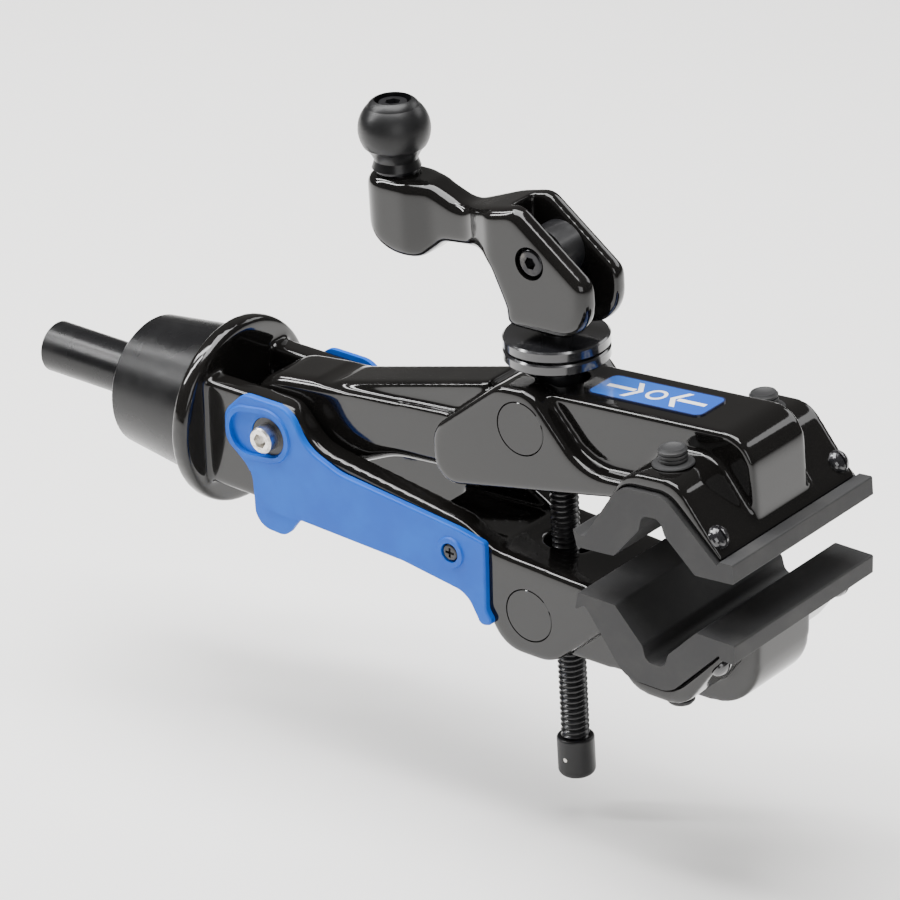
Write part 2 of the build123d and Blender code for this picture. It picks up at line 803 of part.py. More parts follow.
# ---------------------------------------------------------------- knob
knob_foot = knob_washer_thickness + face_gap
with BuildPart() as knob:
    with BuildSketch(knob_side):
        with BuildLine():
            Polyline(
                (knob_bore_diameter / 2, knob_foot),
                (knob_neck_radius + 0.6, knob_foot),
                (knob_neck_radius - 0.6, knob_foot + 3.5),
            )
            ThreePointArc(
                (knob_neck_radius - 0.6, knob_foot + 3.5),
                (knob_neck_radius + 0.6, knob_foot + 6.2),
                (knob_ball_radius - 2.0, knob_foot + 9.8),
            )
            ThreePointArc(
                (knob_ball_radius - 2.0, knob_foot + 9.8),
                (knob_ball_radius, knob_foot + 17.0),
                (knob_ball_radius - 4.4, knob_foot + 27.4),
            )
            ThreePointArc(
                (knob_ball_radius - 4.4, knob_foot + 27.4),
                (knob_recess_diameter / 2 + 1.4, knob_foot + 29.4),
                (knob_recess_diameter / 2, knob_foot + knob_height),
            )
            Polyline(
                (knob_recess_diameter / 2, knob_foot + knob_height),
                (knob_recess_diameter / 2, knob_foot + knob_height - knob_recess_depth),
                (knob_bore_diameter / 2, knob_foot + knob_height - knob_recess_depth),
                (knob_bore_diameter / 2, knob_foot),
            )
        make_face()
    revolve(axis=knob_axis)

with BuildPart() as knob_washer:
    with BuildSketch(knob_seat):
        Circle(knob_neck_radius - 1)
        Circle(knob_screw_diameter / 2, mode=Mode.SUBTRACT)
    extrude(amount=knob_washer_thickness)

screw_seat = knob_foot + knob_height - knob_recess_depth + face_gap
with BuildPart() as knob_screw:
    with BuildSketch(knob_side):
        with BuildLine():
            Polyline(
                (0, -knob_screw_grip),
                (knob_screw_diameter / 2, -knob_screw_grip),
                (knob_screw_diameter / 2, screw_seat),
                (knob_screw_head_diameter / 2, screw_seat),
                (knob_screw_head_diameter / 2, screw_seat + knob_screw_head_height),
                (0, screw_seat + knob_screw_head_height),
                close=True,
            )
        make_face()
    revolve(axis=knob_axis)
    with BuildSketch(knob_seat.offset(screw_seat + knob_screw_head_height)):
        RegularPolygon(knob_socket_across / math.sqrt(3), 6)
    extrude(amount=-knob_socket_depth, mode=Mode.SUBTRACT)

# ---------------------------------------------------------------- pivot hardware
near_side = Plane(origin=(pivot_x, 0, pivot_z), x_dir=(1, 0, 0), z_dir=(0, -1, 0))
with BuildPart() as pivot_bolt:
    with BuildSketch(near_side):
        Circle(pivot_diameter / 2)
    extrude(amount=half_body + pivot_washer_thickness)
    with BuildSketch(near_side):
        Circle(pivot_diameter / 2)
    extrude(amount=-half_body - pivot_washer_thickness - pivot_nut_height)
    with BuildSketch(near_side.offset(half_body + pivot_washer_thickness)):
        Circle(pivot_head_diameter / 2)
    extrude(amount=pivot_head_height)
    chamfer(pivot_bolt.faces().sort_by(Axis.Y)[0].edges(), pivot_head_chamfer)
    with BuildSketch(near_side.offset(half_body + pivot_washer_thickness + pivot_head_height)):
        RegularPolygon(pivot_socket_across / math.sqrt(3), 6)
    extrude(amount=-pivot_socket_depth, mode=Mode.SUBTRACT)

with BuildPart() as pivot_washers:
    with BuildSketch(
        near_side.offset(half_body), near_side.offset(-half_body - pivot_washer_thickness)
    ):
        Circle(pivot_washer_diameter / 2)
        Circle(pivot_diameter / 2, mode=Mode.SUBTRACT)
    extrude(amount=pivot_washer_thickness)

with BuildPart() as pivot_nut:
    with BuildSketch(near_side.offset(-half_body - pivot_washer_thickness)):
        RegularPolygon(pivot_nut_across / math.sqrt(3), 6)
        Circle(pivot_diameter / 2, mode=Mode.SUBTRACT)
    extrude(amount=-pivot_nut_height)

with BuildPart() as pivot_bushes:
    with BuildSketch(near_side.offset(0.5), near_side.offset(-arm_width / 2)):
        Circle(pivot_diameter / 2 + running_fit + bush_wall)
        Circle(pivot_diameter / 2 + running_fit, mode=Mode.SUBTRACT)
    extrude(amount=arm_width / 2 - 0.5)

# ---------------------------------------------------------------- pad fixings
plug_profile = [
    (0, 0),
    (plug_hole_diameter / 2, 0),
    (plug_hole_diameter / 2, plug_seat),
    (plug_flange_diameter / 2, plug_seat),
    (plug_flange_diameter / 2, plug_seat + 1.2),
    (plug_head_diameter / 2, plug_seat + 1.7),
    (plug_head_diameter / 2, plug_length - 0.8),
    (plug_head_diameter / 2 - 0.8, plug_length),
    (0, plug_length),
]
screw_profile = [
    (0, -pad_screw_grip),
    (pad_screw_diameter / 2, -pad_screw_grip),
    (pad_screw_diameter / 2, 0),
    *[
        (pad_screw_head_diameter / 2 * math.cos(a), pad_screw_head_height * math.sin(a))
        for a in (math.pi / 2 * step / 6 for step in range(6))
    ],
    (0, pad_screw_head_height),
]


def turned(places, profile):
    """The same turned piece, a profile of radius and height, standing at each place."""
    with BuildPart() as group:
        for place in places:
            with BuildSketch(Plane(origin=place.origin, x_dir=place.x_dir, z_dir=place.y_dir)):
                with BuildLine():
                    Polyline(*[(r, -h) for r, h in profile], close=True)
                make_face()
            revolve(axis=Axis(place.origin, place.z_dir))
    return group


with BuildPart() as lower_pad_plugs:
    add(turned(plug_places(lower_grip), plug_profile).part)

with BuildPart() as upper_pad_plugs:
    add(turned(plug_places(upper_grip), plug_profile).part)

with BuildPart() as lower_pad_screws:
    add(turned(screw_places(lower_grip), screw_profile).part)
    for place in screw_places(lower_grip):
        with BuildSketch(place.offset(pad_screw_head_height)):
            Rectangle(pad_screw_head_diameter, pad_screw_slot_width)
        extrude(amount=-pad_screw_slot_depth, mode=Mode.SUBTRACT)

with BuildPart() as upper_pad_screws:
    add(turned(screw_places(upper_grip), screw_profile).part)
    for place in screw_places(upper_grip):
        with BuildSketch(place.offset(pad_screw_head_height)):
            Rectangle(pad_screw_head_diameter, pad_screw_slot_width)
        extrude(amount=-pad_screw_slot_depth, mode=Mode.SUBTRACT)

# ---------------------------------------------------------------- label
label_centre = (label_rear + label_length / 2, nose_depth)
with BuildPart() as label_plate:
    with BuildSketch(
        Plane(origin=upper_grip.from_local_coords((*label_centre, 0)), x_dir=jaw.x_dir, z_dir=jaw.y_dir)
    ):
        RectangleRounded(label_length, label_width, label_round)
    extrude(amount=label_thickness)

# ---------------------------------------------------------------- side covers
with BuildPart() as right_cover:
    with BuildSketch(Plane.XZ.offset(half_body)):
        with BuildLine():
            outline(
                [
                    (pivot_x - 24, 15.5),
                    (pivot_x - 13, hub_half_height + 0.8),
                    (pivot_x + 13, hub_half_height + 0.8),
                    (pivot_x + 22, 10.0),
                    (pivot_x + 40, 3.0),
                    (pivot_x + 106, -3.8),
                    (pivot_x + 120.5, -6.5),
                    (pivot_x + 120.5, -38.5),
                    (pivot_x + 125.0, -44.5),
                    (pivot_x + 117.5, -46.5),
                    (pivot_x + 110.0, -33.5),
                    (pivot_x + 75, -28.6),
                    (pivot_x + 17, -26.4),
                    (pivot_x + 9, -37.0),
                    (pivot_x - 8.5, -36.0),
                    (pivot_x - 9.5, -10.0),
                    (pivot_x - 24, 1.5),
                ],
                [9, 9, 12, 20, 26, 12, 2, 5, 2.5, 3, 12, 12, 4, 8, 9, 14, 8],
            )
        make_face()
    extrude(amount=cover_thickness)
    fillet(right_cover.faces().sort_by(Axis.Y)[0].edges(), cover_round)
    # set-back lobe below the body, and raised ring round the cover screw
    with BuildSketch(Plane.XZ.offset(half_body + cover_thickness)):
        with BuildLine():
            outline(
                [
                    (pivot_x + 17, -26.9),
                    (pivot_x - 3.0, -26.0),
                    (pivot_x - 5.5, -10.0),
                    (pivot_x - 15.0, -10.0),
                    (pivot_x - 15.0, -40.0),
                    (pivot_x + 17, -40.0),
                ],
                [0, 4, 0, 0, 0, 0],
            )
        make_face()
    extrude(amount=-cover_set_back, mode=Mode.SUBTRACT)
    with BuildSketch(Plane.XZ.offset(half_body + cover_thickness)):
        with Locations((cover_screw_x, cover_screw_z)):
            Circle(cover_screw_head_diameter / 2 + 3.2)
        with Locations((pivot_x - 4.8, pivot_z + 0.4)):
            SlotOverall(cover_pocket_length + 5.4, cover_pocket_width + 5.4, rotation=8)
    extrude(amount=cover_ring_height, taper=30)
    # recess round the pivot bolt and seat of the cover screw
    with BuildSketch(Plane.XZ.offset(half_body + cover_thickness + cover_ring_height)):
        with Locations((pivot_x - 4.8, pivot_z + 0.4)):
            SlotOverall(cover_pocket_length, cover_pocket_width, rotation=8)
    extrude(amount=-cover_pocket_depth - cover_ring_height, mode=Mode.SUBTRACT)
    with BuildSketch(Plane.XZ.offset(half_body)):
        with Locations((pivot_x, pivot_z)):
            Circle(counterbore_diameter / 2)
        with Locations((cover_screw_x, cover_screw_z)):
            Circle(cover_screw_diameter / 2)
    extrude(amount=cover_thickness, mode=Mode.SUBTRACT)
    with BuildSketch(Plane.XZ.offset(half_body + cover_thickness + cover_ring_height)):
        with Locations((cover_screw_x, cover_screw_z)):
            Circle(cover_screw_head_diameter / 2 + 0.5)
    extrude(amount=-cover_recess_depth - cover_ring_height, mode=Mode.SUBTRACT)

with BuildPart() as left_cover:
    add(mirror(right_cover.part, about=Plane.XZ))

with BuildPart() as right_cover_screw:
    with BuildSketch(Plane.XZ.offset(half_body + cover_thickness - cover_recess_depth)):
        with Locations((cover_screw_x, cover_screw_z)):
            Circle(cover_screw_head_diameter / 2)
    extrude(amount=cover_screw_head_height)
    fillet(right_cover_screw.faces().sort_by(Axis.Y)[0].edges(), cover_screw_round)
    with BuildSketch(Plane.XZ.offset(half_body + cover_thickness - cover_recess_depth)):
        with Locations((cover_screw_x, cover_screw_z)):
            Circle(cover_screw_diameter / 2)
    extrude(amount=cover_recess_depth - cover_thickness - cover_screw_grip)
    with BuildSketch(
        Plane.XZ.offset(half_body + cover_thickness - cover_recess_depth + cover_screw_head_height)
    ):
        with Locations((cover_screw_x, cover_screw_z)):
            Rectangle(cover_screw_slot_length, cover_screw_slot_width)
            Rectangle(cover_screw_slot_width, cover_screw_slot_length)
    extrude(amount=-cover_screw_slot_depth, mode=Mode.SUBTRACT)

with BuildPart() as cover_screws:
    add(right_cover_screw.part)
    add(mirror(right_cover_screw.part, about=Plane.XZ))

pieces = {
    "clamp_body": clamp_body,
    "friction_cone": friction_cone,
    "mounting_stub": mounting_stub,
    "stub_bolt": stub_bolt,
    "lower_jaw_pad": lower_jaw_pad,
    "lower_pad_plugs": lower_pad_plugs,
    "lower_pad_screws": lower_pad_screws,
    "right_side_cover": right_cover,
    "left_side_cover": left_cover,
    "cover_screws": cover_screws,
    "pivot_bolt": pivot_bolt,
    "pivot_washers": pivot_washers,
    "pivot_nut": pivot_nut,
    "pivot_bushes": pivot_bushes,
    "lower_trunnion": lower_trunnion,
    "upper_jaw": upper_jaw,
    "upper_jaw_pad": upper_jaw_pad,
    "upper_pad_plugs": upper_pad_plugs,
    "upper_pad_screws": upper_pad_screws,
    "label_plate": label_plate,
    "upper_trunnion": upper_trunnion,
    "thrust_sleeve": thrust_sleeve,
    "lower_race": lower_race,
    "roller_cage": roller_cage,
    "upper_race": upper_race,
    "adjusting_rod": adjusting_rod,
    "rod_collar": rod_collar,
    "rod_end_cap": rod_end_cap,
    "cap_pin": cap_pin,
    "cam_lever": cam_lever,
    "lever_pin": lever_pin,
    "lever_pin_nut": lever_pin_nut,
    "knob": knob,
    "knob_washer": knob_washer,
    "knob_screw": knob_screw,
}
for name, piece in pieces.items():
    piece.part.label = name
    export_step(piece.part, f"parts/{name}.step")
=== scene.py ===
"""Looks of a repair stand clamp head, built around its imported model."""

import json
import logging
import math
from dataclasses import dataclass, field
from enum import Enum
from typing import Iterable, Sequence, Union

import bmesh
import bpy
from mathutils import Matrix, Vector


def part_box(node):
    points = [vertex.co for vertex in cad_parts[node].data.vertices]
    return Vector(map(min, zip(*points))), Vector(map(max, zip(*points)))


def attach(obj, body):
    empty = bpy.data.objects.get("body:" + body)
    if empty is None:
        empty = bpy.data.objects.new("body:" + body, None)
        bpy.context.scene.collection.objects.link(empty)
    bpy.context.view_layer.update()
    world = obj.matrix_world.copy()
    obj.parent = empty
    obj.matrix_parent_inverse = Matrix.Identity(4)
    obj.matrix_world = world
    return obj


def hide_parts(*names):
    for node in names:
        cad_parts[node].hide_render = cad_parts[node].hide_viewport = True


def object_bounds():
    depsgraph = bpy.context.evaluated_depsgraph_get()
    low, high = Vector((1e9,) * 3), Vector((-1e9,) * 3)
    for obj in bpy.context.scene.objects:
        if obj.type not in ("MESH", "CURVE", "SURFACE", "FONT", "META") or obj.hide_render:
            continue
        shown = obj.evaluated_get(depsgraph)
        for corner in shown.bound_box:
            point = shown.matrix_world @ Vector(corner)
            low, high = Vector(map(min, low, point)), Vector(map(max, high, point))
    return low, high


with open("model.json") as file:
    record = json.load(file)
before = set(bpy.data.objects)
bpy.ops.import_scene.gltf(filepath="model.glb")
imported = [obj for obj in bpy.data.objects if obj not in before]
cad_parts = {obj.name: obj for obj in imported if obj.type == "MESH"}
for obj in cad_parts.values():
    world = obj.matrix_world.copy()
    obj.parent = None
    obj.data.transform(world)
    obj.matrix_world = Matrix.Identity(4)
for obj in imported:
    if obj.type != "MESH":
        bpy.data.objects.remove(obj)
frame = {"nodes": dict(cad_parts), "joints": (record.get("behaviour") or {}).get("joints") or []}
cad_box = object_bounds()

logging.basicConfig(level=logging.INFO, format="%(message)s")
log = logging.getLogger("clamp head")

MM = 0.001
TRUNNION_BORE = 12.25 * MM
BORE_FILL = 0.4 * MM  # how much wider than its bore a filling is
BORE_RUNOUT = 3 * MM  # how far a bore's cutter runs past its ends
CAD_WELD = 1e-6  # points of a CAD mesh closer than this, in metres, are one
WELD = 1e-7  # the same for a piece made here
CRISP_TURN = math.radians(35)  # an edge that turns more than this stays crisp
ROUND_SIDES = 96
Colour = tuple[float, float, float]
Value = Union["Signal", float]


class Body(Enum):
    """The rigid bodies that the pieces made here ride on."""

    CLAMP_BODY = "clamp_body"
    UPPER_JAW = "upper_jaw"
    ROD = "adjusting_rod"
    LEVER = "cam_lever"


class Slot(Enum):
    """The record's material slots of the pieces made here."""

    GLOSS_BLACK = "gloss_black"
    BLACK_STEEL = "black_steel"
    PLUG_RUBBER = "plug_rubber"


# ------------------------------------------------------------------ shader maths


@dataclass(frozen=True)
class Signal:
    """A number that varies over a surface, as the output socket of a shader node."""

    shader: "Shader"
    socket: bpy.types.NodeSocket

    def _maths(self, operation: str, *values: Value) -> "Signal":
        """Adds a Math node and returns its result."""
        return self.shader.node("ShaderNodeMath", {"operation": operation}, list(enumerate(values)))

    def __add__(self, other: Value) -> "Signal":
        """self + other."""
        return self._maths("ADD", self, other)

    def __sub__(self, other: Value) -> "Signal":
        """self - other."""
        return self._maths("SUBTRACT", self, other)

    def __rsub__(self, other: Value) -> "Signal":
        """other - self."""
        return self._maths("SUBTRACT", other, self)

    def __mul__(self, other: Value) -> "Signal":
        """self * other."""
        return self._maths("MULTIPLY", self, other)

    __rmul__ = __mul__

    def __pow__(self, other: Value) -> "Signal":
        """self ** other."""
        return self._maths("POWER", self, other)

    def __abs__(self) -> "Signal":
        """The size of self."""
        return self._maths("ABSOLUTE", self)

    def larger(self, other: Value) -> "Signal":
        """The larger of self and other."""
        return self._maths("MAXIMUM", self, other)

    def smaller(self, other: Value) -> "Signal":
        """The smaller of self and other."""
        return self._maths("MINIMUM", self, other)

    def sine(self) -> "Signal":
        """The sine of self."""
        return self._maths("SINE", self)

    def ramp(self, low: float, high: float) -> "Signal":
        """A smooth step from 0 at low to 1 at high.

        Args:
            low: Where the step starts.
            high: Where the step ends.

        Returns:
            The step, from 0 to 1.
        """
        settings = {"interpolation_type": "SMOOTHSTEP", "clamp": True}
        links = [("Value", self), ("From Min", low), ("From Max", high)]
        return self.shader.node("ShaderNodeMapRange", settings, links)


class Shader:
    """A material's node tree, built round one Principled BSDF."""

    def __init__(self, name: str) -> None:
        """Starts a material with an empty tree.

        Args:
            name: The material's name.
        """
        self.material = bpy.data.materials.new(name)
        self.material.use_nodes = True
        self.tree = self.material.node_tree
        self.tree.nodes.clear()
        self.output = self.tree.nodes.new("ShaderNodeOutputMaterial")
        self.surface = self.tree.nodes.new("ShaderNodeBsdfPrincipled")
        self.tree.links.new(self.surface.outputs[0], self.output.inputs["Surface"])

    def node(
        self,
        kind: str,
        settings: dict[str, object],
        links: Iterable[tuple[Union[str, int], object]],
        output: Union[str, int] = 0,
    ) -> Signal:
        """Adds a node, sets it up, and feeds its sockets.

        Args:
            kind: The node's type.
            settings: Its properties.
            links: Pairs of an input socket and a value or a Signal.
            output: The output socket to return.

        Returns:
            The chosen output as a Signal.
        """
        made = self.tree.nodes.new(kind)
        for key, value in settings.items():
            setattr(made, key, value)
        for key, value in links:
            if isinstance(value, Signal):
                self.tree.links.new(value.socket, made.inputs[key])
            else:
                made.inputs[key].default_value = value
        return Signal(self, made.outputs[output])

    def set(self, **values: object) -> None:
        """Sets or feeds the Principled shader's sockets.

        Args:
            values: Socket names, with underscores for spaces, and their values.
        """
        for key, value in values.items():
            socket = self.surface.inputs[key.replace("_", " ")]
            if isinstance(value, Signal):
                self.tree.links.new(value.socket, socket)
            else:
                socket.default_value = (*value, 1) if isinstance(value, tuple) else value

    def place(self, centre: Sequence[float] = (0, 0, 0), turn: Sequence[float] = (0, 0, 0)) -> Signal:
        """Object coordinates, centred and turned on a piece.

        Args:
            centre: The pattern's origin, in metres.
            turn: The pattern's turn about each axis, in radians.

        Returns:
            The coordinates as a vector.
        """
        where = self.node("ShaderNodeTexCoord", {}, [], "Object")
        settings = {"vector_type": "TEXTURE"}
        links = [("Vector", where), ("Location", tuple(centre)), ("Rotation", tuple(turn))]
        return self.node("ShaderNodeMapping", settings, links)

    def axes(self, where: Signal) -> tuple[Signal, Signal, Signal]:
        """The three parts of a vector.

        Args:
            where: The vector.

        Returns:
            Its X, Y and Z.
        """
        split = self.node("ShaderNodeSeparateXYZ", {}, [(0, where)])
        outputs = split.socket.node.outputs
        return tuple(Signal(self, outputs[i]) for i in range(3))

    def noise(self, where: Signal, size: float, detail: float = 2.0, rough: float = 0.5) -> Signal:
        """Smooth noise from 0 to 1.

        Args:
            where: The coordinates.
            size: The size of one blotch, in metres.
            detail: The number of finer layers.
            rough: How strong the finer layers are.

        Returns:
            The noise.
        """
        links = [("Vector", where), ("Scale", 1 / size), ("Detail", detail), ("Roughness", rough)]
        return self.node("ShaderNodeTexNoise", {}, links)

    def mix(self, share: Signal, first: object, second: object) -> Signal:
        """A blend of two colours.

        Args:
            share: 0 gives the first colour, 1 the second.
            first: A colour or a Signal.
            second: A colour or a Signal.

        Returns:
            The blended colour.
        """
        ends = [(*end, 1) if isinstance(end, tuple) else end for end in (first, second)]
        links = [(0, share), (6, ends[0]), (7, ends[1])]
        return self.node("ShaderNodeMix", {"data_type": "RGBA"}, links, 2)

    def bump(self, height: Signal, depth: float, strength: float = 1.0) -> Signal:
        """A bump from a height that runs from 0 to 1.

        Args:
            height: The height.
            depth: What 1 stands for, in metres.
            strength: The bump's strength.

        Returns:
            The bent normal.
        """
        links = [("Height", height), ("Distance", depth), ("Strength", strength)]
        return self.node("ShaderNodeBump", {}, links)


# ------------------------------------------------------------------ finishes


@dataclass(frozen=True)
class Enamel:
    """Glossy powder coat on a casting, with a faint orange peel and handling haze."""

    name: str = "gloss black enamel"
    colour: Colour = (0.0045, 0.0042, 0.004)
    dust: Colour = (0.016, 0.0145, 0.013)
    roughness: float = 0.06
    haze: float = 0.07
    broad_size: float = 60 * MM
    peel_size: float = 2.6 * MM
    peel_depth: float = 0.012 * MM
    speck_size: float = 0.7 * MM
    coat: float = 0.22
    coat_roughness: float = 0.04
    gloss: float = 0.36

    def build(self) -> bpy.types.Material:
        """Makes the material."""
        shader = Shader(self.name)
        where = shader.place()
        broad = shader.noise(where, self.broad_size, 3.0, 0.55)
        peel = shader.noise(where, self.peel_size, 1.0, 0.4)
        specks = shader.noise(where, self.speck_size, 1.0, 0.5).ramp(0.76, 0.8)
        film = (broad.ramp(0.45, 0.8) * 0.25 + specks * 0.5).smaller(1.0)
        shader.set(
            Base_Color=shader.mix(film, self.colour, self.dust),
            Roughness=broad.ramp(0.35, 0.75) * self.haze + self.roughness,
            Normal=shader.bump(peel, self.peel_depth),
            Coat_Weight=self.coat,
            Coat_Roughness=self.coat_roughness,
            Specular_IOR_Level=self.gloss,
        )
        return shader.material


@dataclass(frozen=True)
class SatinCoat:
    """Satin black coat on turned metal, with faint lathe rings about the hub axis."""

    name: str = "satin black coat"
    colour: Colour = (0.005, 0.005, 0.0055)
    worn: Colour = (0.03, 0.03, 0.03)
    roughness: float = 0.24
    ring_pitch: float = 0.5 * MM
    ring_depth: float = 0.012 * MM
    grain_size: float = 0.6 * MM
    grain_depth: float = 0.02 * MM
    broad_size: float = 25 * MM
    gloss: float = 0.3

    def build(self) -> bpy.types.Material:
        """Makes the material."""
        shader = Shader(self.name)
        where = shader.place()
        x, _, _ = shader.axes(where)
        rings = (x * (2 * math.pi / self.ring_pitch)).sine() * 0.5 + 0.5
        grain = shader.noise(where, self.grain_size, 2.0, 0.6)
        broad = shader.noise(where, self.broad_size, 3.0, 0.6)
        height = rings * (self.ring_depth / self.grain_depth) + grain
        shader.set(
            Base_Color=shader.mix(broad.ramp(0.5, 0.85) * 0.3, self.colour, self.worn),
            Roughness=broad.ramp(0.3, 0.8) * 0.14 + self.roughness,
            Normal=shader.bump(height, self.grain_depth, 0.6),
            Specular_IOR_Level=self.gloss,
        )
        return shader.material


@dataclass(frozen=True)
class OxideSteel:
    """Black oxide steel with a slight oily sheen and paler rubbed patches."""

    name: str = "black oxide steel"
    colour: Colour = (0.016, 0.016, 0.018)
    rubbed: Colour = (0.1, 0.095, 0.09)
    roughness: float = 0.3
    metallic: float = 0.55
    broad_size: float = 9 * MM
    grain_size: float = 0.35 * MM
    grain_depth: float = 0.01 * MM
    coat: float = 0.3
    coat_roughness: float = 0.12

    def build(self) -> bpy.types.Material:
        """Makes the material."""
        shader = Shader(self.name)
        where = shader.place()
        broad = shader.noise(where, self.broad_size, 4.0, 0.6)
        grain = shader.noise(where, self.grain_size, 2.0, 0.6)
        shader.set(
            Base_Color=shader.mix(broad.ramp(0.55, 0.9) * 0.4, self.colour, self.rubbed),
            Metallic=self.metallic,
            Roughness=broad.ramp(0.3, 0.8) * 0.15 + self.roughness,
            Normal=shader.bump(grain, self.grain_depth, 0.5),
            Coat_Weight=self.coat,
            Coat_Roughness=self.coat_roughness,
        )
        return shader.material


@dataclass(frozen=True)
class PlatedSteel:
    """Bright zinc-plated steel with fine scratches and a warm tint in its hollows."""

    name: str = "bright plated steel"
    colour: Colour = (0.78, 0.76, 0.72)
    dull: Colour = (0.34, 0.31, 0.28)
    roughness: float = 0.2
    blotch_size: float = 2.2 * MM
    grain_size: float = 0.25 * MM
    grain_depth: float = 0.015 * MM

    def build(self) -> bpy.types.Material:
        """Makes the material."""
        shader = Shader(self.name)
        where = shader.place()
        blotch = shader.noise(where, self.blotch_size, 4.0, 0.65)
        grain = shader.noise(where, self.grain_size, 2.0, 0.6)
        shader.set(
            Base_Color=shader.mix(blotch.ramp(0.4, 0.75), self.colour, self.dull),
            Metallic=1.0,
            Roughness=blotch * 0.25 + self.roughness,
            Normal=shader.bump(grain, self.grain_depth, 0.6),
        )
        return shader.material


@dataclass(frozen=True)
class Bronze:
    """Sintered bronze with oil-dark pores."""

    name: str = "sintered bronze"
    colour: Colour = (0.5, 0.33, 0.15)
    pores: Colour = (0.08, 0.05, 0.03)
    roughness: float = 0.35
    pore_size: float = 0.3 * MM
    pore_depth: float = 0.02 * MM

    def build(self) -> bpy.types.Material:
        """Makes the material."""
        shader = Shader(self.name)
        pores = shader.noise(shader.place(), self.pore_size, 3.0, 0.7).ramp(0.55, 0.7)
        shader.set(
            Base_Color=shader.mix(pores, self.colour, self.pores),
            Metallic=0.9,
            Roughness=pores * 0.3 + self.roughness,
            Normal=shader.bump(1 - pores, self.pore_depth, 0.5),
        )
        return shader.material


@dataclass(frozen=True)
class Rubber:
    """Moulded rubber: matte and dark, with a fine grain, grey bloom and pale specks."""

    name: str
    colour: Colour
    bloom: Colour
    roughness: float = 0.55
    broad_size: float = 18 * MM
    grain_size: float = 0.45 * MM
    grain_depth: float = 0.05 * MM
    speck_size: float = 0.9 * MM
    gloss: float = 0.4

    def build(self) -> bpy.types.Material:
        """Makes the material."""
        shader = Shader(self.name)
        where = shader.place()
        broad = shader.noise(where, self.broad_size, 4.0, 0.6)
        grain = shader.noise(where, self.grain_size, 3.0, 0.65)
        specks = shader.noise(where, self.speck_size, 1.0, 0.5).ramp(0.72, 0.78)
        bloom = (broad.ramp(0.4, 0.8) * 0.6 + specks * 0.3 + grain * 0.2).smaller(1.0)
        shader.set(
            Base_Color=shader.mix(bloom, self.colour, self.bloom),
            Roughness=grain * 0.16 + self.roughness,
            Normal=shader.bump(grain, self.grain_depth, 0.5),
            Specular_IOR_Level=self.gloss,
        )
        return shader.material


@dataclass(frozen=True)
class MouldedPlastic:
    """Moulded plastic with a fine spark-eroded texture and soft flow marks."""

    name: str
    colour: Colour
    flow: Colour
    roughness: float = 0.32
    broad_size: float = 22 * MM
    grain_size: float = 0.5 * MM
    grain_depth: float = 0.02 * MM
    coat: float = 0.2
    coat_roughness: float = 0.2
    gloss: float = 0.5

    def build(self) -> bpy.types.Material:
        """Makes the material."""
        shader = Shader(self.name)
        where = shader.place()
        broad = shader.noise(where, self.broad_size, 3.0, 0.55)
        grain = shader.noise(where, self.grain_size, 2.0, 0.55)
        shader.set(
            Base_Color=shader.mix(broad.ramp(0.35, 0.75), self.colour, self.flow),
            Roughness=broad.ramp(0.3, 0.8) * 0.12 + self.roughness,
            Normal=shader.bump(grain, self.grain_depth, 0.5),
            Coat_Weight=self.coat,
            Coat_Roughness=self.coat_roughness,
            Specular_IOR_Level=self.gloss,
        )
        return shader.material


